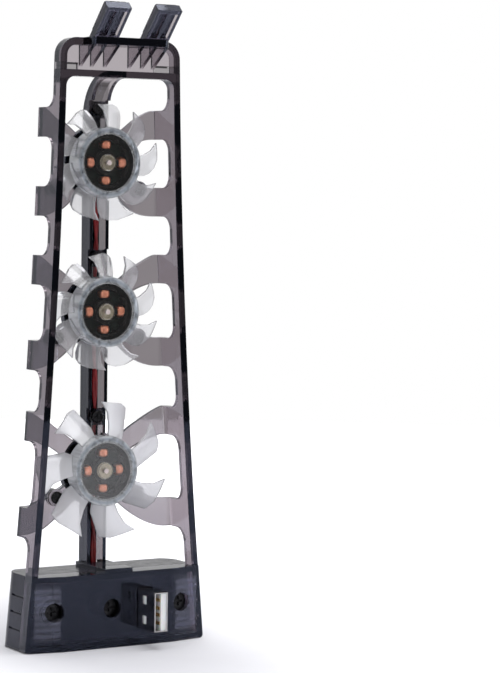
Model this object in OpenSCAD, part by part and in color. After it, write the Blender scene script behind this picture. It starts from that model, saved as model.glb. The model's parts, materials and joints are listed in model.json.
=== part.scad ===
/* [Frame] */
// Height from the underside of the base to the top of the top bar
frame_h = 184.6; // [178:0.2:200]
// Outer width across the two posts at the foot
foot_w = 62; // [60:0.5:72]
// Outer width across the two posts at the top
top_w = 40.7; // [40:0.1:48]
// How far each post bows inwards at half height
post_bow = 1.83; // [0.8:0.01:2]
// Thickness of the posts and side walls
wall_t = 2.2; // [1.8:0.1:2.4]
// Depth of the front strip of each post
strip_d = 4.2; // [3.6:0.1:4.6]
// Depth of the side walls where the arms start
wall_d = 13.6; // [13:0.1:14.2]
// Outer corner radius at the top of the frame
corner_r = 5.5; // [4:0.5:8]
// Depth at which the hub plates end, behind the front edge
hub_rear = 16.4; // [16:0.1:17]
// Thickness of the hub plates
hub_t = 2.4; // [2:0.1:2.4]
// Thickness of the arms
arm_t = 1.6; // [1.2:0.1:1.7]
// Height of the arms where they meet the side wall
tab_h = 8.9; // [7:0.1:9.4]

/* [Spine] */
// Width of the wire channel behind the fans
spine_w = 6.6; // [6.2:0.1:7.4]
// Depth of the channel's front edge
spine_front = 13; // [12.8:0.1:13.4]
// Wall of the channel
spine_t = 1.1; // [0.8:0.1:1.2]
// Thickness of the strip on the back of the channel
strip_t = 0.5; // [0.3:0.1:0.6]

/* [Top bar and hooks] */
// Height of the top bar
bar_h = 11.6; // [11:0.2:13]
// Thickness of the top bar's upper flange
flange_t = 2.3; // [1.8:0.1:2.6]
// Half width of the shelf that carries the hooks
shelf_half = 13; // [12.9:0.1:14]
// How far the shelf stands forward
shelf_out = 7.4; // [7:0.1:8.4]
// Distance of each hook from the middle
hook_x = 8.6; // [8:0.1:9]
// Width of a hook
hook_w = 8.1; // [7:0.1:8.6]
// Thickness of a hook
hook_t = 2.8; // [2.4:0.1:3.2]
// Length of a hook
hook_len = 15.3; // [14:0.1:18]
// Forward lean of the hooks from the vertical, in degrees
hook_lean = 44; // [38:1:48]
// Thickness of the foam on the hooks and hub plates
pad_t = 0.7; // [0.5:0.1:1]

/* [Base] */
// Height of the deck
deck_z = 22.9; // [22.4:0.1:23.6]
// How far the middle of the front panel stands forward
bulge = 2.2; // [1.6:0.1:2.6]
// Half width of the flat middle of the front panel
panel_half = 18.6; // [17.5:0.1:19.5]
// Depth of the back of the base, behind the front edge of the posts
base_rear = 19; // [19:0.1:21]
// Corner radius at the back of the base
base_r = 7; // [5:0.5:8]
// Wall of the base
base_t = 2; // [1.8:0.1:2]
// Distance of the outer base screws from the middle
screw_x = 22; // [21.8:0.1:22.6]
// Height of the base screws
screw_z = 12.1; // [11.6:0.1:12.6]

/* [Fans] */
// Distance of the top fan's axis below the top bar
fan_drop = 25.5; // [24.5:0.1:26]
// Distance of the bottom fan's axis above the deck
fan_rise = 30.1; // [29.9:0.1:30.7]
// How far the middle fan's axis stands above the middle of the other two
fan_middle_up = 1.65; // [1.4:0.05:2]
// Blade tip radius of the top and middle fans
small_tip_r = 18; // [17:0.1:18.2]
// Blade tip radius of the bottom fan
large_tip_r = 21.4; // [20:0.1:21.6]
// Number of blades on the top and middle fans
small_blades = 9; // [7:1:9]
// Number of blades on the bottom fan
large_blades = 7; // [5:1:7]
// Outer radius of the rotor hubs
hub_ring_r = 10.75; // [10.6:0.05:10.9]
// Depth of the front face of the rotors
rotor_front = 6.8; // [6.5:0.1:7]
// Angle that a blade of the top and middle fans fills at its root
small_blade_w = 30; // [24:1:32]
// Angle that a blade of the bottom fan fills at its root
large_blade_w = 34; // [28:1:38]
// Thickness of a blade
blade_t = 0.9; // [0.7:0.1:1.1]
// Slope of a blade across its width, in degrees
blade_pitch = 28; // [22:1:30]
// Forward sweep of a blade from the root to the tip, in degrees
blade_sweep = 18; // [12:1:22]
// Running gap between turning and fixed faces
run_gap = 0.4; // [0.35:0.05:0.5]
// Radius of the rotor shaft
shaft_r = 0.75; // [0.7:0.05:0.9]
// Radial clearance of the shaft in its sleeve
shaft_gap = 0.05; // [0.03:0.01:0.08]

/* [Plug, socket and button] */
// Width of the plug shell across its narrow side
plug_w = 4.5; // [4.4:0.1:4.6]
// Height of the plug shell across its wide side
plug_h = 12; // [11.9:0.1:12.1]
// Length of the plug in front of the panel
plug_len = 10.7; // [10:0.1:12]
// Position of the plug from the middle
plug_x = 8.5; // [8.3:0.1:8.8]
// Height of the plug's axis
plug_z = 11.6; // [11.2:0.1:11.8]
// Position of the socket from the middle
socket_x = 4.2; // [4.2:0.1:4.6]
// Height of the socket's axis
socket_z = 10.7; // [10:0.1:10.8]
// Position of the button left of the middle, seen from the back
button_x = 13.3; // [12.6:0.1:13.4]
// Height of the button's axis
button_z = 10.4; // [9.8:0.1:10.8]
// Radius of the button
button_r = 4.25; // [3.8:0.05:4.3]
// How far the button stands out
button_out = 1.5; // [1.4:0.1:2]
// Travel of the button
button_travel = 1.2; // [0.8:0.1:1.2]

/* [Hidden] */
$fn = 64;
mid_y = (base_rear - bulge) / 2;
steps = 10;
seam_gap = 0.05;
bar_z = frame_h - bar_h;
bar_floor_t = flange_t - 0.3;
bar_panel_y = strip_d - 1.3;
ring_inner_r = 3;
foot_corner = 1.2;
fan_top_z = bar_z - fan_drop;
fan_bottom_z = deck_z + fan_rise;
fan_middle_z = (fan_top_z + fan_bottom_z) / 2 + fan_middle_up;
fans = [fan_top_z, fan_middle_z, fan_bottom_z];
hub_front = hub_rear - hub_t;
hub_plate_r = hub_ring_r + 0.75;
motor_base_r = hub_plate_r - 1.2;
arm_kink = hub_plate_r + 1.5;
arm_in = hub_plate_r - 4.5;
rear_round = 2;
tab_fillet = 4;
spine_rear = hub_rear + 2;
spine_in = spine_w / 2 - spine_t;
bend_y = strip_d;
bend_r = spine_rear - bend_y;
bend_in = spine_front - bend_y;
bend_z = bar_z + bar_floor_t - bend_r;
bend_in_z = bar_z - bend_in;
ridge_half = 4.8;
ridge_z = deck_z + 1.2;
ridge_rear = base_rear - 1.5;
rib_t = 1.1;
slot_h = 2.2;
slot_x = 13.2;
slot_end = 0.8;
slot_d = 0.8;
hook_root_y = -2.1;
hook_rim = 1;
hook_start = 3.4;
boss_r = 4;
boss_meet = 6;
head_r = 2.6;
head_gap = 0.3;
head_h = 1.6;
head_seat = 2;
thread_r = 1;
thread_len = 6;
cross_w = 0.7;
cross_len = 3;
cross_d = 0.7;
mid_screw_x = -2.5;
housing_boss_r = 3;
board_t = 1.6;
board_front = boss_meet + board_t;
board_rear = board_front + board_t;
cavity_top = deck_z - base_t;
ear_r = 16.2;
ear_half = 2.6;
ear_bar_in = 0.5;
ear_gap = 0.25;
ear_angles = [-30, 90, 210];
ear_t = 1;
ear_screw_r = 0.8;
ear_head_r = 1.9;
ear_head_h = 0.8;
bridge_t = 1.4;
base_front = hub_front - ear_t;
pcb_t = 0.8;
pcb_front = base_front - pcb_t;
sleeve_r = 2.5;
ring_rear = base_front - run_gap;
blade_rear = base_front - ear_head_h - run_gap;
blade_y = blade_rear - 1.1;
disc_t = 0.8;
magnet_r = hub_ring_r - 1.15;
magnet_t = 0.9;
ring_lip_r = hub_ring_r - 1.85;
magnet_front = rotor_front + 1.4;
magnet_rear = ring_rear - 0.2;
stator_r = magnet_r - magnet_t - 0.7;
coil_r = 1.95;
shoe_t = 0.9;
coil_y = pcb_front - coil_r - 0.15;
core_t = 2.2;
neck_w = 1.8;
core_hub_r = 3.6;
coil_in = core_hub_r + 0.6;
coil_out = sqrt(pow(stator_r - shoe_t, 2) - coil_r * coil_r) - 0.1;
boss_front_r = 2.4;
sleeve_front = rotor_front + disc_t + 0.4 + run_gap;
lead_r = 0.6;
lead_pass = lead_r + 0.3;
lead_y = min(base_rear - base_t, spine_rear - spine_t) - lead_r - 0.1;
lead_run_z = cavity_top - 1.5;
lead_drop = 5;
red_x = 0.2;
black_x = -1.2;
shell_t = 0.35;
port_gap = 0.2;
socket_w = plug_w + 1.2;
socket_h = plug_h + 1.1;
tongue_t = 1.8;
contact_t = 0.2;
contact_w = 1;
contact_spots = [-3.5, -1, 1, 3.5];
stem_r = 1.5;
stem_gap = 0.06;
bezel_gap = 0.08;
bezel_t = 0.85;
bezel_flange = 0.6;
cap_flange_t = 0.8;
cap_in = base_rear - 2 - cap_flange_t - 0.3;
switch_rear = cap_in - button_travel - 0.3;
top_turn = 35.5;
middle_turn = 5.3;
bottom_turn = 15.1;
smoke = [0.45, 0.43, 0.47, 0.85];
navy = [0.09, 0.09, 0.13];
black = [0.05, 0.05, 0.06];
clear = [0.85, 0.88, 0.9, 0.6];
steel = [0.72, 0.73, 0.75];
brass = [0.72, 0.62, 0.34];
copper = [0.8, 0.45, 0.28];
white = [0.92, 0.92, 0.9];

function half_w(z) = foot_w / 2 + (top_w - foot_w) / 2 * z / frame_h
    - 4 * post_bow * (z / frame_h) * (1 - z / frame_h);
function tab_in(zc) = 0.5 * half_w(zc) - 3.2;
function tab_out(zc) = tab_in(zc) + tab_h;

module placed() {
    translate([0, -mid_y, 0]) children();
}

module slab(y0, y1) {
    translate([0, y1, 0]) rotate([90, 0, 0]) linear_extrude(y1 - y0) children();
}

module side_slab(x0, x1) {
    translate([x0, 0, 0]) rotate([90, 0, 90]) linear_extrude(x1 - x0) children();
}

module pin(x, z, y0, y1, r) {
    translate([x, y1, z]) rotate([90, 0, 0]) cylinder(h = y1 - y0, r = r);
}

module block(x0, x1, y0, y1, z0, z1) {
    translate([x0, y0, z0]) cube([x1 - x0, y1 - y0, z1 - z0]);
}

module outline(z0, z1, inset) {
    polygon(concat(
        [for (i = [0:steps]) let (z = z0 + (z1 - z0) * i / steps) [half_w(z) - inset, z]],
        [for (i = [steps:-1:0]) let (z = z0 + (z1 - z0) * i / steps) [inset - half_w(z), z]]));
}

module topped_outline(z0, z1, inset, r) {
    w = half_w(z1 - r) - inset;
    outline(z0, z1 - r, inset);
    translate([r - w, z1 - 2 * r]) square([2 * (w - r), 2 * r]);
    for (s = [-1, 1]) translate([s * (w - r), z1 - r]) circle(r);
}

module ring_outline() {
    intersection() {
        topped_outline(0, frame_h, 0, corner_r);
        foot_outline();
    }
}

module foot_outline() {
    w = foot_w / 2;
    c = foot_corner;
    polygon([[-w - 9, frame_h + 9], [-w - 9, c], [-w, c], [0.3 * c - w, 0.3 * c], [c - w, 0],
        [w - c, 0], [w - 0.3 * c, 0.3 * c], [w, c], [w + 9, c], [w + 9, frame_h + 9]]);
}

module panel_plan(t) {
    w = foot_w / 2 + 1;
    edge = bulge / (foot_w / 2 - panel_half);
    polygon([[-w, edge + t], [-panel_half, t - bulge], [panel_half, t - bulge], [w, edge + t],
        [w, strip_d + (t > 0 ? 5 : 0)], [-w, strip_d + (t > 0 ? 5 : 0)]]);
}

module base_half(inset) {
    r = base_r - inset;
    y0 = strip_d + seam_gap - inset;
    y1 = base_rear - inset;
    lean = atan((half_w(0) - half_w(deck_z)) / deck_z);
    translate([half_w(deck_z / 2) - inset, 0, deck_z / 2]) rotate([0, -lean, 0])
        translate([0, 0, -deck_z]) linear_extrude(2 * deck_z) {
            translate([-2 * foot_w, y0]) square([2 * foot_w, y1 - r - y0]);
            translate([-2 * foot_w, y0]) square([2 * foot_w - r, y1 - y0]);
            translate([-r, y1 - r]) circle(r);
        }
}

module base_body(inset, z0, z1) {
    intersection() {
        base_half(inset);
        mirror([1, 0, 0]) base_half(inset);
        block(-foot_w, foot_w, 0, base_rear, z0, z1);
    }
}

module base_side() {
    low = 3.5;
    high = 1;
    translate([0, 0]) square([base_rear - low, deck_z]);
    translate([base_rear - 2 * low, low]) square([2 * low, deck_z - low - high]);
    translate([base_rear - low, low]) circle(low);
    translate([base_rear - 2 * low, deck_z - 4]) square([2 * low - high, 4]);
    translate([base_rear - high, deck_z - high]) circle(high);
}

module tab_side(za, zb) {
    r = tab_fillet;
    translate([strip_d - 1, za]) square([wall_d - strip_d + 1, zb - za]);
    difference() {
        translate([strip_d - 1, za - r]) square([r + 1, zb - za + 2 * r]);
        translate([strip_d + r, za - r]) circle(r);
        translate([strip_d + r, zb + r]) circle(r);
    }
}

module corner_cut(z, x, y, r, h) {
    lean = atan((half_w(z - 5) - half_w(z + 5)) / 10);
    translate([x, y, z]) rotate([0, -lean, 0]) translate([-r, -r, -h]) linear_extrude(2 * h) difference() {
        square(r + 3);
        circle(r);
    }
}

module arm_plan(zc) {
    w = half_w(zc) - rear_round;
    polygon([[0, hub_rear], [arm_kink, hub_rear], [w, wall_d], [w + 4, wall_d], [w + 4, wall_d - arm_t],
        [w, wall_d - arm_t], [arm_kink, hub_rear - arm_t], [0, hub_rear - arm_t]]);
}

function curve(a, b, c) = [for (i = [0:steps]) let (t = i / steps)
    (1 - t) * (1 - t) * a + 2 * t * (1 - t) * b + t * t * c];
function reversed(a) = [for (i = [len(a) - 1:-1:0]) a[i]];

module arm_shape(near, far, from, to, flow_near, flow_far, x) {
    polygon(concat(curve([arm_in, near], [x - flow_near, from], [x, from]), [[x + 8, from], [x + 8, to]],
        reversed(curve([arm_in, far], [x - flow_far, to], [x, to]))));
}

module arm_outline(zc) {
    x = half_w(zc) - rear_round - 1.2;
    translate([0, zc]) {
        arm_shape(1.6, 8.7, tab_in(zc), tab_out(zc), 5, 2, x);
        arm_shape(-2.6, -9.6, -tab_in(zc), -tab_out(zc), 6, 6, x);
    }
}

module side_tabs(zc) {
    for (s = [-1, 1]) {
        za = zc + (s > 0 ? tab_in(zc) : -tab_out(zc));
        intersection() {
            slab(strip_d - 1, wall_d) difference() {
                outline(za - tab_fillet - 1, za + tab_h + tab_fillet + 1, 0);
                outline(za - tab_fillet - 2, za + tab_h + tab_fillet + 2, wall_t);
            }
            side_slab(-foot_w, foot_w) tab_side(za, za + tab_h);
        }
    }
}

module arms(zc) {
    for (s = [0, 1]) mirror([s, 0, 0]) intersection() {
        slab(wall_d - arm_t - 1, hub_rear) intersection() {
            arm_outline(zc);
            outline(zc - tab_out(zc) - 2, zc + tab_out(zc) + 2, 0.5);
        }
        translate([0, 0, zc - 30]) linear_extrude(60) arm_plan(zc);
    }
}

module fan_carrier(zc) {
    mid_tab = (tab_in(zc) + tab_out(zc)) / 2;
    difference() {
        union() {
            side_tabs(zc);
            arms(zc);
        }
        for (z = [zc - mid_tab, zc + mid_tab]) {
            corner_cut(z, half_w(z), wall_d, rear_round, 8);
            mirror([1, 0, 0]) corner_cut(z, half_w(z), wall_d, rear_round, 8);
        }
    }
    boss_ring(zc);
    pin(0, zc, hub_front, hub_rear, hub_plate_r);
}

module boss_ring(zc) {
    for (a = ear_angles) if (a != 90) pin(ear_r * cos(a), zc + ear_r * sin(a), hub_front, hub_rear, ear_half);
}

module spine_side() {
    difference() {
        union() {
            translate([spine_front, deck_z + seam_gap])
                square([spine_rear - spine_front, bend_z - deck_z - seam_gap]);
            intersection() {
                translate([bend_y, bend_z]) circle(bend_r);
                translate([bend_y - 1, bend_z]) square(bend_r + 2);
            }
        }
        translate([bend_y, bend_in_z]) circle(bend_in);
        translate([bend_y - 2, bend_z - 1]) square([bend_in + 2, bend_in_z - bend_z + 1]);
    }
}

module spine() {
    side_slab(-spine_w / 2, spine_w / 2) spine_side();
}

module spine_channel() {
    block(-spine_in, spine_in, spine_front - 3, spine_rear - spine_t, deck_z - 1, bend_z);
    intersection() {
        translate([-spine_in, bend_y, bend_z]) rotate([0, 90, 0])
            cylinder(h = 2 * spine_in, r = bend_r - spine_t);
        block(-spine_in, spine_in, bend_y + 1, spine_rear, bend_z, bar_z + bar_h);
    }
}

module bridges() {
    for (zc = fans) difference() {
        block(-spine_w / 2, spine_w / 2, hub_front, hub_front + bridge_t,
            zc + ear_r - ear_half, zc + ear_r + ear_half);
        pin(0, zc + ear_r, hub_front - 1, hub_rear, ear_screw_r);
    }
}

module hook_frame(s) {
    translate([s * hook_x, hook_root_y, frame_h - 1]) rotate([hook_lean, 0, 0]) children();
}

module hook(s) {
    hook_frame(s) difference() {
        translate([-hook_w / 2, -hook_t, 0.9]) cube([hook_w, hook_t, hook_len - 0.9]);
        for (m = [-1, 1]) translate([m > 0 ? 0.5 : hook_rim - hook_w / 2, -hook_t - 1, hook_start + 1])
            cube([hook_w / 2 - hook_rim - 0.5, 2.2, hook_len - hook_start - 2.4]);
    }
}

module shelf() {
    r = 2;
    translate([0, 0, frame_h - flange_t]) linear_extrude(flange_t) {
        translate([-shelf_half, r - shelf_out]) square([2 * shelf_half, shelf_out - r + 0.5]);
        translate([r - shelf_half, -shelf_out]) square([2 * (shelf_half - r), 2 * r]);
        for (s = [-1, 1]) translate([s * (shelf_half - r), r - shelf_out]) circle(r);
    }
    for (s = [-1, 1]) for (x = [hook_x - 4.4, hook_x, hook_x + 3.8])
        side_slab(s * x - rib_t / 2, s * x + rib_t / 2) polygon([
            [bar_panel_y + 0.3, bar_z + bar_floor_t + 0.8], [bar_panel_y + 0.3, frame_h - 1],
            [1.6 - shelf_out, frame_h - 1], [1.6 - shelf_out, frame_h - flange_t - 0.2]]);
}

module bar_cuts() {
    difference() {
        slab(-1, bar_panel_y) topped_outline(bar_z + bar_floor_t, frame_h - flange_t, wall_t, ring_inner_r);
        shelf();
        for (s = [-1, 1]) hook(s);
    }
    for (s = [0, 1]) mirror([s, 0, 0])
        block(slot_x, half_w(bar_z) - slot_end, strip_d - slot_d, strip_d + 1, bar_z + bar_floor_t,
            bar_z + bar_floor_t + slot_h);
}

module panel_cuts() {
    intersection() {
        translate([0, 0, base_t]) linear_extrude(deck_z - 2 * base_t) panel_plan(base_t);
        slab(-bulge, strip_d + 1) outline(0, deck_z, wall_t);
    }
    for (s = [-1, 1]) for (z = [2, 4, 6])
        translate([0, 0, z]) linear_extrude(0.6) intersection() {
            translate([s > 0 ? panel_half + 1.2 : 2.6 - foot_w / 2, -bulge - 1])
                square([foot_w / 2 - panel_half - 3.8, bulge + 2]);
            difference() {
                translate([-foot_w, -bulge - 2]) square([2 * foot_w, bulge + 4]);
                panel_plan(0.5);
            }
        }
}

module base_screw_spots() {
    for (x = [-screw_x, mid_screw_x, screw_x]) translate([x, 0, screw_z]) children();
}

module frame() {
    color(smoke) placed() {
        difference() {
            union() {
                difference() {
                    union() {
                        slab(0, strip_d) difference() {
                            ring_outline();
                            topped_outline(deck_z, bar_z, wall_t, ring_inner_r);
                        }
                        intersection() {
                            linear_extrude(deck_z) panel_plan(0);
                            slab(-bulge - 1, strip_d) ring_outline();
                        }
                        block(-ridge_half, ridge_half, 0.6 - bulge, strip_d, deck_z - 1, ridge_z);
                        shelf();
                        for (s = [-1, 1]) hook(s);
                    }
                    bar_cuts();
                    panel_cuts();
                }
                base_screw_spots() translate([0, boss_meet, 0]) rotate([90, 0, 0])
                    cylinder(h = boss_meet + bulge - 1, r = boss_r);
                difference() {
                    union() {
                        for (zc = fans) fan_carrier(zc);
                        spine();
                    }
                    spine_channel();
                    for (zc = fans) {
                        block(-spine_w, spine_w, spine_front - 3, hub_front, zc - hub_plate_r,
                            zc + ear_r + ear_half + ear_gap);
                        ears(zc, ear_gap, base_front - 3, hub_front);
                    }
                }
                bridges();
            }
            base_screw_spots() {
                translate([0, head_seat, 0]) rotate([90, 0, 0])
                    cylinder(h = head_seat + bulge + 1, r = head_r + head_gap);
                translate([0, boss_meet + 1, 0]) rotate([90, 0, 0])
                    cylinder(h = boss_meet, r = thread_r + 0.1);
            }
            block(plug_x - plug_w / 2 - port_gap, plug_x + plug_w / 2 + port_gap, -bulge - 1, strip_d,
                plug_z - plug_h / 2 - port_gap, plug_z + plug_h / 2 + port_gap);
            for (zc = fans) for (a = ear_angles) if (a != 90)
                pin(ear_r * cos(a), zc + ear_r * sin(a), hub_front - 1, hub_rear - 0.6, ear_screw_r);
        }
    }
}

module base_shell() {
    intersection() {
        base_body(0, 0, deck_z);
        slab(strip_d, base_rear + 1) foot_outline();
        side_slab(-foot_w, foot_w) base_side();
    }
}

module base_housing() {
    color(navy) placed() difference() {
        union() {
            difference() {
                base_shell();
                base_body(base_t, base_t, cavity_top);
            }
            base_screw_spots() translate([0, base_rear - 1, 0]) rotate([90, 0, 0])
                cylinder(h = base_rear - 1 - boss_meet - seam_gap, r = housing_boss_r);
            block(-ridge_half, ridge_half, strip_d + seam_gap, spine_front - seam_gap, deck_z - 1, ridge_z);
            for (s = [0, 1]) mirror([s, 0, 0])
                block(spine_w / 2 + seam_gap, ridge_half, spine_front - 1, ridge_rear, deck_z - 1, ridge_z);
        }
        base_screw_spots() translate([0, boss_meet + thread_len + 2, 0]) rotate([90, 0, 0])
            cylinder(h = thread_len + 3, r = thread_r);
        block(socket_x - socket_w / 2 - port_gap, socket_x + socket_w / 2 + port_gap, base_rear - base_t - 1,
            base_rear + 1, socket_z - socket_h / 2 - port_gap, socket_z + socket_h / 2 + port_gap);
        pin(-button_x, button_z, base_rear - base_t - 1, base_rear + 1, button_r + bezel_gap + bezel_t);
        block(black_x - lead_pass, red_x + lead_pass, lead_y - lead_pass, lead_y + lead_pass,
            cavity_top - 1, deck_z + 1);
        for (s = [-1, 1]) for (z = [6.2, 11.2, 16.2]) {
            x = s * half_w(z);
            block(x - 0.5, x + 0.5, strip_d - 1, base_rear - base_r, z, z + 0.6);
        }
    }
}

module spine_strip() {
    w = spine_w / 2 - 0.25;
    color(black) placed() block(-w, w, spine_rear, spine_rear + strip_t, deck_z, fan_top_z + ear_r);
}

module hub_pads() {
    color(black) placed() for (zc = fans) difference() {
        pin(0, zc, hub_rear, hub_rear + pad_t, hub_plate_r - 0.5);
        block(-spine_w / 2, spine_w / 2, hub_rear - 1, spine_rear, zc - 20, zc + 20);
    }
}

module hook_pads() {
    color(black) placed() for (s = [-1, 1]) hook_frame(s)
        translate([0.2 - hook_w / 2, 0, hook_start]) cube([hook_w - 0.4, pad_t, hook_len - hook_start - 0.3]);
}

module ears(zc, grow, y0, y1) {
    half = ear_half + grow - ear_bar_in;
    for (a = ear_angles) {
        pin(ear_r * cos(a), zc + ear_r * sin(a), y0, y1, ear_half + grow);
        translate([0, y1, zc]) rotate([90, -a, 0]) translate([arm_in, -half, 0])
            cube([ear_r - arm_in, 2 * half, y1 - y0]);
    }
}

module motor_base(zc) {
    color(clear) placed() difference() {
        union() {
            pin(0, zc, base_front, hub_front - seam_gap, motor_base_r);
            ears(zc, 0, base_front, hub_front - seam_gap);
        }
        for (a = ear_angles)
            pin(ear_r * cos(a), zc + ear_r * sin(a), base_front - 1, hub_front + 1, ear_screw_r);
        block(black_x - lead_pass, red_x + lead_pass, base_front - 1, hub_front + 1,
            zc - lead_drop - lead_pass, zc - lead_drop + lead_pass);
    }
}

module motor_base_top() motor_base(fan_top_z);
module motor_base_middle() motor_base(fan_middle_z);
module motor_base_bottom() motor_base(fan_bottom_z);

module motor_board(zc) {
    color([0.1, 0.22, 0.16]) placed() difference() {
        pin(0, zc, pcb_front, base_front, stator_r + 0.2);
        pin(0, zc, pcb_front - 1, base_front + 1, sleeve_r + 0.1);
    }
}

module motor_board_top() motor_board(fan_top_z);
module motor_board_middle() motor_board(fan_middle_z);
module motor_board_bottom() motor_board(fan_bottom_z);

module stator_core(zc) {
    y0 = coil_y - core_t / 2;
    y1 = coil_y + core_t / 2;
    color(black) placed() difference() {
        union() {
            pin(0, zc, y0, y1, core_hub_r);
            for (a = [0:90:270]) translate([0, y1, zc]) rotate([90, -a, 0]) {
                translate([0, -neck_w / 2, 0]) cube([stator_r - 0.6, neck_w, core_t]);
                intersection() {
                    difference() {
                        cylinder(h = core_t, r = stator_r);
                        translate([0, 0, -1]) cylinder(h = core_t + 2, r = stator_r - shoe_t);
                    }
                    translate([3, -4.2, -1]) cube([stator_r, 8.4, core_t + 2]);
                }
            }
        }
        pin(0, zc, y0 - 1, y1 + 1, sleeve_r);
    }
}

module stator_core_top() stator_core(fan_top_z);
module stator_core_middle() stator_core(fan_middle_z);
module stator_core_bottom() stator_core(fan_bottom_z);

module coils(zc) {
    color(copper) placed() for (a = [0:90:270]) translate([0, coil_y, zc]) rotate([90, -a, 0]) difference() {
        translate([coil_in, 0, 0]) rotate([0, 90, 0]) cylinder(h = coil_out - coil_in, r = coil_r);
        translate([0, -neck_w / 2, -core_t / 2]) cube([stator_r, neck_w, core_t]);
    }
}

module coils_top() coils(fan_top_z);
module coils_middle() coils(fan_middle_z);
module coils_bottom() coils(fan_bottom_z);

module bearing_sleeve(zc) {
    color(brass) placed() difference() {
        pin(0, zc, sleeve_front, base_front, sleeve_r);
        pin(0, zc, sleeve_front - 1, base_front + 1, shaft_r + shaft_gap);
    }
}

module bearing_sleeve_top() bearing_sleeve(fan_top_z);
module bearing_sleeve_middle() bearing_sleeve(fan_middle_z);
module bearing_sleeve_bottom() bearing_sleeve(fan_bottom_z);

function blade_edge(tip_r, u, a) = let (r = hub_ring_r - 0.6 + (tip_r - hub_ring_r + 0.6) * u)
    [r * cos(a), r * sin(a)];

module blade_outline(tip_r, w) {
    h = w / 2;
    polygon([
        blade_edge(tip_r, 0, -h), blade_edge(tip_r, 0.35, 2 - h), blade_edge(tip_r, 0.65, 5 - h),
        blade_edge(tip_r, 0.85, 9 - h), blade_edge(tip_r, 0.96, 15 - h), blade_edge(tip_r, 1, 23 - h),
        blade_edge(tip_r, 1, h + 10), blade_edge(tip_r, 0.7, h + 4), blade_edge(tip_r, 0.35, h + 1),
        blade_edge(tip_r, 0, h)]);
}

module blade(tip_r, w) {
    camber_r = 0.8 * tip_r;
    span = tip_r - hub_ring_r + 8;
    intersection() {
        slab(rotor_front + 0.2, blade_rear) blade_outline(tip_r, w);
        translate([hub_ring_r, blade_y, 0]) rotate([0, -blade_sweep, 0]) rotate([blade_pitch, 0, 0])
            translate([-3, camber_r - 0.5, 0]) rotate([0, 90, 0]) difference() {
                cylinder(h = span, r = camber_r + blade_t);
                translate([0, 0, -1]) cylinder(h = span + 2, r = camber_r);
            }
    }
}

module rotor(zc, tip_r, count, w, turn) {
    color(clear) placed() {
        difference() {
            pin(0, zc, rotor_front, ring_rear, hub_ring_r);
            pin(0, zc, rotor_front + disc_t, magnet_front, ring_lip_r);
            pin(0, zc, magnet_front, ring_rear + 1, magnet_r);
            pin(0, zc, rotor_front - 1, ring_rear, shaft_r);
        }
        difference() {
            pin(0, zc, rotor_front + disc_t / 2, rotor_front + disc_t + 0.4, boss_front_r);
            pin(0, zc, rotor_front - 1, ring_rear, shaft_r);
        }
        translate([0, 0, zc]) for (i = [0:count - 1]) rotate([0, -turn - i * 360 / count, 0]) blade(tip_r, w);
    }
}

module rotor_top() rotor(fan_top_z, small_tip_r, small_blades, small_blade_w, top_turn);
module rotor_middle() rotor(fan_middle_z, small_tip_r, small_blades, small_blade_w, middle_turn);
module rotor_bottom() rotor(fan_bottom_z, large_tip_r, large_blades, large_blade_w, bottom_turn);

module magnet_ring(zc) {
    color(black) placed() difference() {
        pin(0, zc, magnet_front, magnet_rear, magnet_r);
        pin(0, zc, magnet_front - 1, magnet_rear + 1, magnet_r - magnet_t);
    }
}

module magnet_ring_top() magnet_ring(fan_top_z);
module magnet_ring_middle() magnet_ring(fan_middle_z);
module magnet_ring_bottom() magnet_ring(fan_bottom_z);

module shaft(zc) {
    color(steel) placed() pin(0, zc, rotor_front, ring_rear, shaft_r);
}

module shaft_top() shaft(fan_top_z);
module shaft_middle() shaft(fan_middle_z);
module shaft_bottom() shaft(fan_bottom_z);

module fan_screws() {
    color(black) placed() for (zc = fans) for (a = ear_angles) {
        x = ear_r * cos(a);
        z = zc + ear_r * sin(a);
        pin(x, z, base_front - ear_head_h, base_front, ear_head_r);
        pin(x, z, base_front - 0.2, hub_front + bridge_t - 0.1, ear_screw_r);
    }
}

module base_screws() {
    color(black) placed() base_screw_spots() {
        difference() {
            translate([0, head_seat, 0]) rotate([90, 0, 0]) cylinder(h = head_h, r = head_r);
            for (a = [0, 90]) rotate([0, a, 0])
                translate([-cross_len / 2, head_seat - head_h - 1, -cross_w / 2])
                cube([cross_len, 1 + cross_d, cross_w]);
        }
        translate([0, boss_meet + thread_len, 0]) rotate([90, 0, 0])
            cylinder(h = boss_meet + thread_len - head_seat + 0.2, r = thread_r);
    }
}

module usb_shell(x, z, y0, y1, w, h) {
    difference() {
        block(x - w / 2, x + w / 2, y0, y1, z - h / 2, z + h / 2);
        block(x - w / 2 + shell_t, x + w / 2 - shell_t, y0 - 1, y1 + 1, z - h / 2 + shell_t,
            z + h / 2 - shell_t);
    }
}

module plug_shell() {
    color(steel) placed() difference() {
        usb_shell(plug_x, plug_z, -bulge - plug_len, board_front, plug_w, plug_h);
        for (s = [-1, 1]) block(plug_x - plug_w, plug_x, -bulge - 5.6, -bulge - 3.4,
            plug_z + s * 3.05 - 1.3, plug_z + s * 3.05 + 1.3);
    }
}

module plug_tongue() {
    x1 = plug_x + plug_w / 2 - shell_t;
    h = plug_h / 2 - shell_t;
    color(white) placed()
        block(x1 - tongue_t, x1, 0.3 - bulge - plug_len, board_front, plug_z - h, plug_z + h);
}

module plug_contacts() {
    x1 = plug_x + plug_w / 2 - shell_t - tongue_t;
    color(brass) placed() for (z = contact_spots)
        block(x1 - contact_t, x1, 0.9 - bulge - plug_len, 9 - bulge - plug_len, plug_z + z - contact_w / 2,
            plug_z + z + contact_w / 2);
}

module socket_shell() {
    color(steel) placed() usb_shell(socket_x, socket_z, board_rear, base_rear + 0.1, socket_w, socket_h);
}

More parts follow.
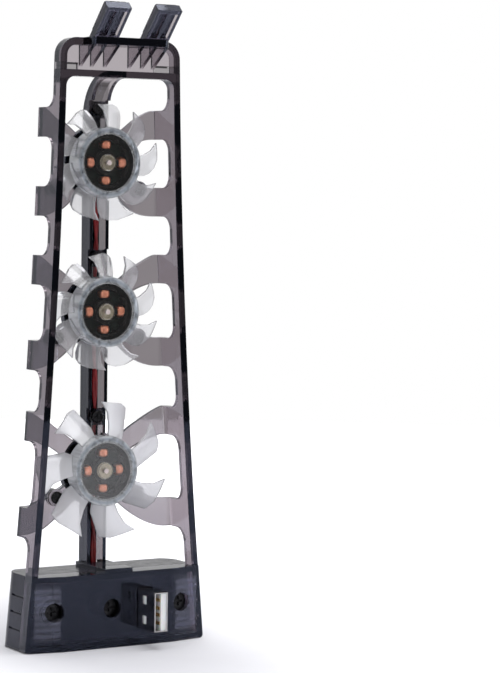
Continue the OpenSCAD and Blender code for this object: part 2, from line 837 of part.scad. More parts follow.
module socket_tongue() {
    x0 = socket_x - socket_w / 2 + shell_t + 0.5;
    color(white) placed()
        block(x0, x0 + tongue_t, board_rear, base_rear - 0.8, socket_z - 5.4, socket_z + 5.4);
}

module socket_contacts() {
    x0 = socket_x - socket_w / 2 + shell_t + 0.5 + tongue_t;
    color(brass) placed() for (z = contact_spots)
        block(x0, x0 + contact_t, board_rear + 1, base_rear - 1.4, socket_z + z - contact_w / 2,
            socket_z + z + contact_w / 2);
}

module main_board() {
    color([0.1, 0.22, 0.16]) placed() difference() {
        block(-button_x - 4.2, plug_x + 8, board_front, board_rear, base_t, cavity_top);
        pin(mid_screw_x, screw_z, board_front - 1, board_rear + 1, housing_boss_r + 0.3);
    }
}

module switch_body() {
    color(black) placed() difference() {
        block(-button_x - 4, 4 - button_x, board_rear, switch_rear, button_z - 4, button_z + 4);
        pin(-button_x, button_z, board_rear + 0.6, switch_rear + 1, stem_r + stem_gap);
    }
}

module button_cap() {
    color(black) placed() {
        pin(-button_x, button_z, cap_in, base_rear + button_out, button_r);
        pin(-button_x, button_z, cap_in, cap_in + cap_flange_t, button_r + bezel_gap + bezel_t / 2);
        pin(-button_x, button_z, board_rear + 0.8 + button_travel, cap_in + 0.5, stem_r);
    }
}

module button_bezel() {
    r = button_r + bezel_gap;
    color(black) placed() difference() {
        union() {
            pin(-button_x, button_z, base_rear - base_t, base_rear, r + bezel_t);
            pin(-button_x, button_z, base_rear, base_rear + bezel_flange, r + bezel_t + 0.6);
        }
        pin(-button_x, button_z, base_rear - base_t - 1, base_rear + 2, r);
    }
}

module lead(x) {
    top_z = fan_top_z - lead_drop;
    placed() {
        translate([x, lead_y, lead_run_z]) cylinder(h = top_z - lead_run_z, r = lead_r);
        translate([x, lead_y, lead_run_z]) sphere(lead_r);
        translate([x, lead_y, top_z]) sphere(lead_r);
        pin(x, lead_run_z, board_rear, lead_y, lead_r);
        for (zc = fans) pin(x, zc - lead_drop, base_front, lead_y, lead_r);
    }
}

module lead_red() color([0.55, 0.05, 0.08]) lead(red_x);
module lead_black() color(black) lead(black_x);

frame();
base_housing();
spine_strip();
hub_pads();
hook_pads();
motor_base_top();
motor_base_middle();
motor_base_bottom();
motor_board_top();
motor_board_middle();
motor_board_bottom();
stator_core_top();
stator_core_middle();
stator_core_bottom();
coils_top();
coils_middle();
coils_bottom();
bearing_sleeve_top();
bearing_sleeve_middle();
bearing_sleeve_bottom();
rotor_top();
rotor_middle();
rotor_bottom();
magnet_ring_top();
magnet_ring_middle();
magnet_ring_bottom();
shaft_top();
shaft_middle();
shaft_bottom();
fan_screws();
base_screws();
plug_shell();
plug_tongue();
plug_contacts();
socket_shell();
socket_tongue();
socket_contacts();
main_board();
switch_body();
button_cap();
button_bezel();
lead_red();
lead_black();
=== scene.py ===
"""Looks of the console cooling fan: a smoky frame with three clear fans on a dark base.

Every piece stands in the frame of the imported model, in metres, -Y to the front and +Z up.
"""

import json
import math

import bpy
from mathutils import Matrix, Vector


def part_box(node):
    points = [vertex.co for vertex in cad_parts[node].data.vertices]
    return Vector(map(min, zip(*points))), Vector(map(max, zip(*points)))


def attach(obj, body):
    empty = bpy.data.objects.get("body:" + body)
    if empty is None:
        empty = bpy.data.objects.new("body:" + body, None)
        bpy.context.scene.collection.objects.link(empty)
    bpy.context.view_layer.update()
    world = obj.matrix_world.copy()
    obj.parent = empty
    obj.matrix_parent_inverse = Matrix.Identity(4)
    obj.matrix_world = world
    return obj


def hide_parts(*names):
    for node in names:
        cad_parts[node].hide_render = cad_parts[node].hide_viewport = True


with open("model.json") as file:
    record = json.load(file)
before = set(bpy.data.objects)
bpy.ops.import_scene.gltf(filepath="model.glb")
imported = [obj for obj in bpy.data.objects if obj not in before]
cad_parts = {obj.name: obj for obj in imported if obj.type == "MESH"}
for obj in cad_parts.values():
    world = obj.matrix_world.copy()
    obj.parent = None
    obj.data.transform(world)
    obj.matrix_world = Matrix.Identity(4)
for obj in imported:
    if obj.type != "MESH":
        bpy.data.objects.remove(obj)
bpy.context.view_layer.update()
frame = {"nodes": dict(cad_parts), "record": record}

MM = 0.001
FANS = ("top", "middle", "bottom")
NODES = frame["nodes"]
RECORD = frame["record"]
JOINTS = {joint["name"]: joint for joint in RECORD["behaviour"]["joints"]}
MOUNTS = {mount["name"]: mount for mount in RECORD["mounts"]}
FAN_Z = {fan: JOINTS[f"{fan}_rotor_spin"]["pos_m"][2] for fan in FANS}

# Camera: view angles, distance and focal length of the front view
IMAGE_SIZE = (500, 673)
VIEW_AZIMUTH = math.radians(-28.5)
VIEW_ELEVATION = math.radians(3.26)
VIEW_ROLL = math.radians(0.53)
VIEW_DISTANCE = 0.7461
VIEW_TARGET = Vector((0.0, -0.0024, 0.095))
TARGET_PIXEL = (109.2, 334.7)
FOCAL_PIXELS = 2436.0
SENSOR_MM = 36.0


def new_camera():
    """The camera looks so that the target falls on its pixel of the image."""
    back = Vector((
        math.sin(VIEW_AZIMUTH) * math.cos(VIEW_ELEVATION),
        -math.cos(VIEW_AZIMUTH) * math.cos(VIEW_ELEVATION),
        math.sin(VIEW_ELEVATION),
    ))
    data = bpy.data.cameras.new("camera")
    data.sensor_width = SENSOR_MM
    data.lens = FOCAL_PIXELS * SENSOR_MM / max(IMAGE_SIZE)
    data.clip_start = 0.01
    data.clip_end = 20
    camera = bpy.data.objects.new("camera", data)
    yaw = math.atan((TARGET_PIXEL[0] - IMAGE_SIZE[0] / 2) / FOCAL_PIXELS)
    pitch = math.atan((TARGET_PIXEL[1] - IMAGE_SIZE[1] / 2) / FOCAL_PIXELS)
    facing = (-back).to_track_quat("-Z", "Y").to_matrix()
    turn = Matrix.Rotation(yaw, 3, "Y") @ Matrix.Rotation(pitch, 3, "X")
    turned = facing @ Matrix.Rotation(VIEW_ROLL, 3, "Z") @ turn
    camera.matrix_world = Matrix.Translation(VIEW_TARGET + back * VIEW_DISTANCE) @ turned.to_4x4()
    bpy.context.scene.collection.objects.link(camera)
    bpy.context.scene.camera = camera


# Node trees

# Values of a noise pattern between which the tones and the roughness change
TONE_SPAN = (0.3, 0.7)
ROUGH_SPAN = (0.25, 0.75)
BEVEL_SAMPLES = 4


def grey(level):
    return (level, level, level)


class Nodes:
    """Short ways to add nodes to a tree."""

    def __init__(self, tree):
        self.tree = tree
        self.coords = self.node("ShaderNodeTexCoord")

    def node(self, kind, **inputs):
        """A new node with values on its sockets, written with _ for a space."""
        node = self.tree.nodes.new(kind)
        for name, value in inputs.items():
            node.inputs[name.replace("_", " ")].default_value = value
        return node

    def link(self, a, b):
        self.tree.links.new(a, b)

    def axes(self, vector):
        """The three parts of a vector."""
        node = self.node("ShaderNodeSeparateXYZ")
        self.link(vector, node.inputs["Vector"])
        return node.outputs

    def math(self, operation, first, *others):
        """Changes one value, or combines more of them, one after the other."""
        out = first
        for other in others or (None,):
            node = self.node("ShaderNodeMath")
            node.operation = operation
            self.link(out, node.inputs[0])
            if other is not None:
                self.link(other, node.inputs[1])
            out = node.outputs[0]
        return out

    def mix(self, factor, start, end):
        """Goes from a number to a socket's value with the factor."""
        node = self.node("ShaderNodeMix", A=start)
        self.link(factor, node.inputs["Factor"])
        self.link(end, node.inputs["B"])
        return node.outputs["Result"]

    def between(self, value, start, end, low=0.0, high=1.0, ease="SMOOTHSTEP"):
        """Goes from low to high while the value goes from start to end."""
        node = self.node("ShaderNodeMapRange",
                         From_Min=start, From_Max=end, To_Min=low, To_Max=high)
        node.interpolation_type = ease
        self.link(value, node.inputs["Value"])
        return node.outputs["Result"]

    def within(self, value, low, high, blend=0.2 * MM):
        """1 between two limits and 0 outside them."""
        return self.math("MULTIPLY", self.between(value, low, low + blend),
                         self.between(value, high - blend, high, 1, 0))

    def ramp(self, pattern, *stops, ease="LINEAR"):
        """The pattern picks colours from stops of a place and a colour."""
        node = self.node("ShaderNodeValToRGB")
        node.color_ramp.interpolation = ease
        elements = node.color_ramp.elements
        while len(elements) < len(stops):
            elements.new(1.0)
        for element, (place, colour) in zip(elements, stops):
            element.position = place
            element.color = (*colour, 1)
        self.link(pattern, node.inputs["Fac"])
        return node.outputs["Color"]

    def seen_directly(self):
        """1 for camera, glossy and transmission rays, 0 for the light that falls on the object."""
        rays = self.node("ShaderNodeLightPath").outputs
        return self.math("MAXIMUM", rays["Is Camera Ray"], rays["Is Glossy Ray"],
                         rays["Is Transmission Ray"])

    def reflected(self):
        """1 for light that a glossy surface has thrown back on its way, 0 for the rest."""
        node = self.node("ShaderNodeMath")
        node.operation = "MINIMUM"
        node.inputs[1].default_value = 1
        self.link(self.node("ShaderNodeLightPath").outputs["Glossy Depth"], node.inputs[0])
        return node.outputs[0]


class Finish(Nodes):
    """A node material with one Principled shader."""

    def __init__(self, name):
        self.material = bpy.data.materials.new(name)
        self.material.use_nodes = True
        super().__init__(self.material.node_tree)
        self.shader = self.tree.nodes["Principled BSDF"]
        self.output = self.tree.nodes["Material Output"]
        self.edges = None

    def set(self, **values):
        """Sets sockets of the shader, written with _ for a space."""
        for name, value in values.items():
            self.shader.inputs[name.replace("_", " ")].default_value = value
        return self

    def drive(self, socket, value):
        """A value or colour drives a socket of the shader."""
        self.link(value, self.shader.inputs[socket])
        return self

    def place(self):
        """Where a point lies on each axis."""
        return self.axes(self.coords.outputs["Object"])

    def facing(self):
        """How squarely a face looks along each axis, from 0 to 1."""
        normal = self.node("ShaderNodeNewGeometry").outputs["True Normal"]
        return self.axes(self.vector_math("ABSOLUTE", normal).outputs["Vector"])

    def vector_math(self, operation, *vectors):
        """A node that works on vectors."""
        node = self.node("ShaderNodeVectorMath")
        node.operation = operation
        for vector, socket in zip(vectors, node.inputs):
            self.link(vector, socket)
        return node

    def distance(self, centre, scale):
        """Distance from a centre, with the axes scaled."""
        shift = [-c * s for c, s in zip(centre, scale)]
        mapping = self.node("ShaderNodeMapping", Location=shift, Scale=scale)
        self.link(self.coords.outputs["Object"], mapping.inputs["Vector"])
        return self.vector_math("LENGTH", mapping.outputs["Vector"]).outputs["Value"]

    def scaled(self, colour, amount):
        """A colour times an amount."""
        node = self.vector_math("SCALE", colour)
        self.link(amount, node.inputs["Scale"])
        return node.outputs["Vector"]

    def times(self, a, b):
        """One colour times another."""
        return self.vector_math("MULTIPLY", a, b).outputs["Vector"]

    def noise(self, scale, detail=4.0, stretch=(1, 1, 1)):
        """A noise pattern with `scale` features in each metre."""
        mapping = self.node("ShaderNodeMapping", Scale=stretch)
        self.link(self.coords.outputs["Object"], mapping.inputs["Vector"])
        node = self.node("ShaderNodeTexNoise", Scale=scale, Detail=detail)
        self.link(mapping.outputs["Vector"], node.inputs["Vector"])
        return node.outputs["Fac"]

    def cells(self, scale):
        """Small round cells, as in foam."""
        node = self.node("ShaderNodeTexVoronoi", Scale=scale)
        self.link(self.coords.outputs["Object"], node.inputs["Vector"])
        return node.outputs["Distance"]

    def wave(self, scale, direction, distortion=0.0):
        """Parallel lines across one axis."""
        node = self.node("ShaderNodeTexWave", Scale=scale, Distortion=distortion)
        node.bands_direction = direction
        self.link(self.coords.outputs["Object"], node.inputs["Vector"])
        return node.outputs["Fac"]

    def mottle(self, pattern, dark, light):
        """A colour that the pattern mixes from two tones."""
        return self.ramp(pattern, (TONE_SPAN[0], dark), (TONE_SPAN[1], light))

    def tones(self, pattern, dark, light):
        return self.drive("Base Color", self.mottle(pattern, dark, light))

    def rough(self, pattern, low, high):
        return self.drive("Roughness", self.between(pattern, *ROUGH_SPAN, low, high))

    def soften(self, radius):
        """Edges catch the light as if rounded by a radius in metres."""
        node = self.node("ShaderNodeBevel", Radius=radius)
        node.samples = BEVEL_SAMPLES
        self.edges = node.outputs["Normal"]
        return self.drive("Normal", self.edges)

    def bump(self, pattern, depth, strength=1.0):
        """The pattern raises the surface by a depth in metres."""
        node = self.node("ShaderNodeBump", Strength=strength, Distance=depth)
        self.link(pattern, node.inputs["Height"])
        if self.edges:
            self.link(self.edges, node.inputs["Normal"])
        return self.drive("Normal", node.outputs["Normal"])

    def absorb(self, colour, density):
        """Light fades on its way through the solid."""
        node = self.node("ShaderNodeVolumeAbsorption", Color=(*colour, 1), Density=density)
        self.link(node.outputs["Volume"], self.output.inputs["Volume"])
        return self


# Materials

UNTINTED = grey(1)
ACROSS_Y = (1, 0, 1)
# Values of facing() between which a mask changes: for faces square to an axis, for slanted arms,
# for leaning hooks, and for faces that are edge-on
SQUARE = (0.6, 0.9)
SLANTED = (0.4, 0.8)
LEANING = (0.5, 0.8)
EDGE_ON = (0.3, 0.6)

# Places on the frame: front and rear of the posts' strips, front of the arms, underside of the
# bar, top of the deck, and half the width of the spine
STRIP_FRONT = -8.4 * MM
STRIP_REAR = -4.2 * MM
ARM_FRONT = 3.2 * MM
BAR_Z = 173 * MM
DECK_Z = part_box("spine_strip")[0][2]
SPINE_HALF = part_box("spine_strip")[1][0] + 0.3 * MM
# Shallow slots in the top bar, with a darker line of painted shade along the top of each
SLOT_X = (13 * MM, 21 * MM)
SLOT_Z = (174.8 * MM, 177.3 * MM)
SLOT_LINE_Z = SLOT_Z[1] - 0.8 * MM
SLOT_LINE_END = 17.8 * MM
# Ends of the front panel, paler with painted light for the light that comes in from the sides
PANEL_REAR = -6 * MM
WING_X = (19.8 * MM, 28.5 * MM)
WING_Z = (3 * MM, DECK_Z - 1.5 * MM)
HOOK_Z = 184 * MM
# The posts' rear edges begin at this distance from the middle, less the taper times the height
SEAM_X = 28.4 * MM
POST_TAPER = 0.0572
# How much light the tinted parts let through, where cut edges and slot lines get painted shade,
# and how clear and of what tone are the panel's ends and hooks with painted light, and hazy seams
EDGE_SHADE = 0.28
ARM_TINT = 0.6
SPINE_TINT = 0.5
SLOT_TINT = 0.5
SLOT_LINE_SHADE = 0.15
WING_CLEAR = 0.88
HOOK_CLEAR = 0.945
SEAM_CLEAR = 0.65
PAINTED_LIGHT_TONE = (0.65, 0.68, 0.97)
SEAM_TONE = (0.50, 0.45, 0.50)


class SmokyFinish(Finish):
    """The frame's plastic, with masks that pick out its parts."""

    def __init__(self, name):
        super().__init__(name)
        self.at = self.place()
        self.side = self.math("ABSOLUTE", self.at["X"])
        self.square = self.facing()
        self.above_deck = self.between(self.at["Z"], DECK_Z + 0.5 * MM, DECK_Z + 1.5 * MM)
        self.below_bar = self.between(self.at["Z"], BAR_Z - 1 * MM, BAR_Z, 1, 0)

    def cut_edges(self):
        """Strips of the posts, and level edges, which get painted shade."""
        front = self.between(self.at["Y"], STRIP_FRONT + 0.05 * MM, STRIP_FRONT + 0.2 * MM, 1, 0)
        rear = self.within(self.at["Y"], STRIP_REAR - 0.2 * MM, STRIP_REAR + 0.2 * MM, 0.1 * MM)
        strips = self.math("MULTIPLY",
                           self.math("MAXIMUM", front, self.math("MULTIPLY", rear, self.below_bar)),
                           self.between(self.square["Y"], *SQUARE))
        level = self.math("MULTIPLY", self.between(self.square["Z"], *SQUARE), self.below_bar)
        return self.math("MULTIPLY", self.math("MAXIMUM", strips, level), self.above_deck)

    def arms(self):
        return self.math("MULTIPLY", self.between(self.at["Y"], ARM_FRONT - 0.2 * MM, ARM_FRONT),
                         self.between(self.square["Y"], *SLANTED), self.above_deck)

    def spine(self):
        return self.math("MULTIPLY", self.between(self.at["Y"], ARM_FRONT, ARM_FRONT + 1 * MM),
                         self.between(self.side, SPINE_HALF, SPINE_HALF + 0.2 * MM, 1, 0),
                         self.above_deck)

    def slots(self):
        return self.math("MULTIPLY", self.within(self.side, *SLOT_X),
                         self.within(self.at["Z"], *SLOT_Z))

    def slot_lines(self, slots):
        # The darker line along the top of each slot is painted shade
        return self.math("MULTIPLY", slots,
                         self.between(self.at["Z"], SLOT_LINE_Z, SLOT_LINE_Z + 0.2 * MM),
                         self.between(self.side, SLOT_LINE_END - 0.2 * MM, SLOT_LINE_END, 1, 0))

    def wings(self):
        """Ends of the front panel, which get painted light, with faint ribs and blotches."""
        return self.math("MULTIPLY",
                         self.between(self.at["Y"], PANEL_REAR, PANEL_REAR + 0.2 * MM, 1, 0),
                         self.between(self.side, WING_X[0], WING_X[0] + 0.2 * MM),
                         self.between(self.side, WING_X[1] - 0.8 * MM, WING_X[1], 1, 0),
                         self.between(self.at["Z"], WING_Z[0], WING_Z[0] + 1 * MM),
                         self.between(self.at["Z"], WING_Z[1] - 3 * MM, WING_Z[1], 1, 0),
                         self.between(self.wave(160, "Z", 0.6), 0, 1, 0.6, 1),
                         self.between(self.noise(130, 2), 0.3, 0.7, 0.6, 1))

    def hooks(self):
        # Leaning front faces of the hooks, which get a painted sheen
        return self.math("MULTIPLY", self.between(self.at["Z"], HOOK_Z, HOOK_Z + 1 * MM),
                         self.between(self.square["Y"], *LEANING))

    def seams(self):
        """Rear edges of the posts, where the arms begin."""
        taper = self.vector_math("DOT_PRODUCT", self.coords.outputs["Object"])
        taper.inputs[1].default_value = (0, 0, POST_TAPER)
        out = self.math("ADD", self.side, taper.outputs["Value"])
        return self.math("MULTIPLY", self.between(self.at["Y"], ARM_FRONT, ARM_FRONT + 0.5 * MM),
                         self.between(self.square["Y"], *SQUARE), self.above_deck,
                         self.between(out, SEAM_X, SEAM_X + 0.2 * MM))

    def levels(self, *parts):
        """1 all over, but another level on each part."""
        return self.math("MULTIPLY", *[self.between(mask, 0, 1, 1, level) for mask, level in parts])


def smoky_plastic():
    """Tinted plastic; painted shade makes its cut edges almost black, as light has a long way
    through.
    """
    made = SmokyFinish("smoky_plastic")
    made.set(IOR=1.5, Specular_IOR_Level=0.4, Specular_Tint=(0.62, 0.70, 1.0, 1.0))
    slots = made.slots()
    # Cut edges and the slots' top lines get painted shade; arms, spine and slots get a tint
    tint_and_shade = made.levels((made.cut_edges(), EDGE_SHADE), (made.arms(), ARM_TINT),
                       (made.spine(), SPINE_TINT), (slots, SLOT_TINT),
                       (made.slot_lines(slots), SLOT_LINE_SHADE))
    wings, hooks, seams = made.wings(), made.hooks(), made.seams()
    # The panel's ends get painted light and the hooks a painted sheen, in a paler, bluer tone
    painted_light_and_seam_tone = made.times(made.ramp(made.math("MAXIMUM", wings, hooks), (0, UNTINTED), (1, PAINTED_LIGHT_TONE)),
                      made.ramp(seams, (0, UNTINTED), (1, SEAM_TONE)))
    colour = made.mottle(made.noise(60), (0.93, 0.91, 0.94), (0.97, 0.96, 0.98))
    made.drive("Base Color", made.times(made.scaled(colour, tint_and_shade), painted_light_and_seam_tone))
    made.drive("Transmission Weight",
               made.levels((wings, WING_CLEAR), (seams, SEAM_CLEAR), (hooks, HOOK_CLEAR)))
    made.rough(made.noise(240), 0.015, 0.05)
    made.soften(0.25 * MM)
    made.bump(made.noise(900, 2), 0.01 * MM, 0.15)
    return made.absorb((0.08, 0.0, 0.06), 600).material


# Dark shapes that show through the back of the base: bosses, the rims and blotches
BACK_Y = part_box("base_housing")[1][1] - 1.5 * MM
BOSS_PLACES = ((24 * MM, 15 * MM), (-24 * MM, 15 * MM), (-19 * MM, 20 * MM))
BOSS_R = 1.7 * MM
BOSS_LEVEL = 0.2
RIM_Z = (2 * MM, 26 * MM)
RIM_LEVEL = 0.4
BLOTCH_LEVELS = (0.12, 0.75)
HOUSING_SHINE = (0.70, 0.77, 1.0)


def dark_plastic():
    """Dark tinted plastic that shines less where something dark lies behind its back."""
    made = Finish("dark_plastic")
    made.set(IOR=1.34)
    place = made.place()
    back = made.math("MULTIPLY", made.between(made.facing()["Y"], *SQUARE),
                     made.between(place["Y"], BACK_Y - 1 * MM, BACK_Y))
    blotches = made.noise(140, 3, stretch=(1, 1, 0.6))
    level = made.math("MULTIPLY", made.between(blotches, 0.35, 0.65, *BLOTCH_LEVELS),
                      made.between(place["Z"], RIM_Z[0], RIM_Z[0] + 1 * MM, RIM_LEVEL, 1),
                      made.between(place["Z"], RIM_Z[1], RIM_Z[1] + 1 * MM, 1, RIM_LEVEL))
    for x, z in BOSS_PLACES:
        away = made.distance((x, 0, z), ACROSS_Y)
        boss = made.between(away, 0.7 * BOSS_R, BOSS_R, BOSS_LEVEL, 1)
        level = made.math("MULTIPLY", level, boss)
    shine = made.math("ADD", made.math("MULTIPLY", level, back), made.between(back, 0, 1, 1, 0))
    made.drive("Specular Tint", made.ramp(shine, (0, grey(0)), (1, HOUSING_SHINE)))
    colour = made.mottle(made.noise(90, 2), (0.003, 0.003, 0.007), (0.016, 0.016, 0.027))
    made.drive("Base Color", made.scaled(colour, shine))
    made.rough(made.noise(300), 0.14, 0.28)
    made.soften(0.3 * MM)
    made.bump(made.noise(4000, 2), 0.02 * MM, 0.15)
    return made.material


def clear_plastic():
    made = Finish("clear_plastic")
    made.set(Transmission_Weight=1.0, IOR=1.4)
    made.tones(made.noise(120), (0.90, 0.92, 0.95), (0.96, 0.97, 0.98))
    made.rough(made.noise(400), 0.03, 0.10)
    made.bump(made.noise(1200, 2), 0.01 * MM, 0.2)
    return made.material


# Radii where a rotor changes from the clear disc to the thick ring and to the blades
DISC_R = 8.8 * MM
RING_R = 10.8 * MM
RING_BLEND = 0.15 * MM
RING_MILKY = (0.64, 0.71, 0.80)
# Painted highlights: bright lines at the thick ring's edges, a lighter barrel, and streaks
RING_EDGE_HIGHLIGHT = (0.90, 0.95, 1.0)
BARREL_PAINTED_LIGHT = 1.35
HIGHLIGHT_STREAK_LEVELS = (0.62, 1.12)


def rotor_plastic(fan, blade_tone, blade_haze):
    """Clear over the motor, milky with painted highlights in the thick ring, hazy in the blades."""
    made = Finish(f"rotor_plastic_{fan}")
    made.set(IOR=1.45, Coat_Weight=0.5, Coat_Roughness=0.03)
    r = made.distance((0, 0, FAN_Z[fan]), ACROSS_Y)
    # The ramps run from the axis to twice the ring's radius
    place = made.between(r, 0, 2 * RING_R, ease="LINEAR")
    disc, ring, step = DISC_R / RING_R / 2, 0.5, RING_BLEND / RING_R
    colour = made.ramp(
        place, (disc - step, UNTINTED), (disc + step, RING_EDGE_HIGHLIGHT), (disc + 3 * step, RING_MILKY),
        (ring - 3 * step, RING_MILKY), (ring - step, RING_EDGE_HIGHLIGHT), (ring + step, blade_tone))
    hub = made.between(r, RING_R, RING_R + RING_BLEND, 1, 0)
    barrel = made.math("MULTIPLY", made.between(made.facing()["Y"], *EDGE_ON, 1, 0), hub)
    thick = made.math("MULTIPLY", made.between(r, DISC_R, DISC_R + RING_BLEND), hub)
    # Painted highlights: streaks over the thick ring, and the barrel made lighter
    highlight_streaks = made.between(made.noise(420, 3, stretch=(1, 0.12, 1)), 0.36, 0.62, *HIGHLIGHT_STREAK_LEVELS)
    streaked_light = made.math("ADD", made.between(thick, 0, 1, 1, 0),
                       made.math("MULTIPLY", thick, highlight_streaks))
    amount = made.math("MULTIPLY", made.between(barrel, 0, 1, 1, BARREL_PAINTED_LIGHT), streaked_light)
    made.drive("Base Color", made.scaled(colour, amount))
    made.drive("Transmission Weight", made.ramp(
        place, (disc - step, grey(1.0)), (disc + step, grey(0.7)), (ring, grey(0.6)),
        (ring + step, grey(1 - blade_haze))))
    made.drive("Roughness", made.ramp(
        place, (disc - step, grey(0.015)), (disc + step, grey(0.08)), (ring, grey(0.12)),
        (ring + step, grey(0.12))))
    made.soften(0.45 * MM)
    made.bump(made.noise(700, 2), 0.02 * MM, 0.15)
    return made.material


def copper_wire():
    made = Finish("copper_wire")
    made.set(Metallic=1.0, Coat_Weight=0.5, Coat_Roughness=0.1)
    made.tones(made.noise(900), (0.74, 0.24, 0.13), (0.97, 0.41, 0.26))
    made.rough(made.noise(1500), 0.28, 0.42)
    return made.material


def core_steel():
    """Blackened sheets, stacked from front to back."""
    made = Finish("core_steel")
    made.set(Specular_IOR_Level=0.12)
    made.tones(made.noise(500), (0.005, 0.005, 0.005), (0.015, 0.013, 0.012))
    made.rough(made.noise(700), 0.45, 0.65)
    made.bump(made.wave(900, "Y"), 0.04 * MM, 0.6)
    return made.material


def sintered_brass():
    made = Finish("sintered_brass")
    made.set(Metallic=1.0)
    made.tones(made.noise(1500), (0.42, 0.37, 0.27), (0.62, 0.55, 0.42))
    made.rough(made.noise(2200), 0.28, 0.5)
    made.bump(made.noise(5000, 2), 0.02 * MM, 0.4)
    return made.material


def ferrite():
    made = Finish("ferrite")
    made.set(Specular_IOR_Level=0.12)
    made.tones(made.noise(700), (0.008, 0.008, 0.009), (0.02, 0.02, 0.022))
    made.rough(made.noise(900), 0.45, 0.65)
    return made.material


def bright_steel():
    """Plated sheet with a fine grain along Y."""
    made = Finish("bright_steel")
    made.set(Metallic=1.0)
    made.tones(made.noise(400, stretch=(1, 0.1, 1)), (0.42, 0.41, 0.41), (0.56, 0.55, 0.55))
    made.rough(made.noise(700, stretch=(1, 0.05, 1)), 0.08, 0.18)
    made.soften(0.25 * MM)
    made.bump(made.noise(3000, 2, stretch=(1, 0.03, 1)), 0.008 * MM, 0.4)
    return made.material


def ground_steel():
    made = Finish("ground_steel")
    made.set(Metallic=0.6)
    made.tones(made.noise(1500), (0.62, 0.53, 0.52), (0.74, 0.65, 0.64))
    made.rough(made.noise(2500), 0.40, 0.55)
    return made.material


def gold_plate():
    made = Finish("gold_plate")
    made.set(Metallic=1.0)
    made.tones(made.noise(900), (0.68, 0.50, 0.22), (0.85, 0.66, 0.34))
    made.rough(made.noise(1500), 0.18, 0.32)
    return made.material


def white_nylon():
    made = Finish("white_nylon")
    made.set(Subsurface_Weight=0.2, Subsurface_Scale=0.8 * MM)
    made.tones(made.noise(400), (0.82, 0.82, 0.83), (0.88, 0.88, 0.89))
    made.rough(made.noise(800), 0.32, 0.46)
    made.bump(made.noise(3000, 2), 0.01 * MM, 0.3)
    return made.material


def circuit_board():
    made = Finish("circuit_board")
    made.set(Specular_IOR_Level=0.12)
    made.tones(made.noise(600, 1), (0.005, 0.010, 0.008), (0.008, 0.016, 0.012))
    made.rough(made.noise(900), 0.28, 0.45)
    return made.material


def black_steel():
    made = Finish("black_steel")
    made.set(Metallic=0.8)
    made.tones(made.noise(900), (0.008, 0.008, 0.009), (0.03, 0.03, 0.032))
    made.rough(made.noise(1300), 0.22, 0.38)
    made.soften(0.15 * MM)
    return made.material


def black_satin():
    made = Finish("black_satin")
    made.set(Specular_IOR_Level=0.06)
    made.tones(made.noise(300), (0.001, 0.001, 0.002), (0.004, 0.004, 0.005))
    made.rough(made.noise(600), 0.30, 0.44)
    made.soften(0.4 * MM)
    made.bump(made.noise(6000, 2), 0.02 * MM, 0.3)
    return made.material


def black_gloss():
    made = Finish("black_gloss")
    made.set(Specular_IOR_Level=0.12)
    made.tones(made.noise(300), (0.001, 0.001, 0.001), (0.002, 0.002, 0.003))
    made.rough(made.noise(600), 0.10, 0.18)
    made.bump(made.noise(2000, 2), 0.01 * MM, 0.1)
    return made.material


def closed_foam(name, dark, light):
    made = Finish(name)
    made.set(Specular_IOR_Level=0.05)
    made.tones(made.noise(2500), dark, light)
    made.rough(made.noise(1500), 0.75, 0.95)
    made.bump(made.cells(5000), 0.03 * MM, 0.15)
    return made.material


def wire_skin(name, dark, light):
    made = Finish(name)
    made.set(Coat_Weight=0.3, Coat_Roughness=0.15)
    made.tones(made.noise(500), dark, light)
    made.rough(made.noise(900), 0.28, 0.42)
    return made.material


def dress(material, *names):
    """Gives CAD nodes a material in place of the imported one."""
    for name in names:
        slots = NODES[name].data.materials
        slots.clear()
        slots.append(material)


def each_fan(name):
    return [f"{name}_{fan}" for fan in FANS]


# Modelled pieces

LATHE_SIDES = 40
# Local X to world -X, local Y to world Z, local Z to world Y, which is out of the back
BACKWARD = Matrix(((-1, 0, 0, 0), (0, 0, 1, 0), (0, 1, 0, 0), (0, 0, 0, 1)))
# Local Z to world -Y, which is out of the front
FORWARD = Matrix(((1, 0, 0, 0), (0, 0, -1, 0), (0, 1, 0, 0), (0, 0, 0, 1)))
# Local Z to world X
SIDEWAYS = Matrix(((0, 0, 1, 0), (1, 0, 0, 0), (0, 1, 0, 0), (0, 0, 0, 1)))


def around(count):
    """Angles of points spread evenly round a circle."""
    return [2 * math.pi * i / count for i in range(count)]


def circle(r, height, turns):
    return [(r * math.cos(a), r * math.sin(a), height) for a in turns]


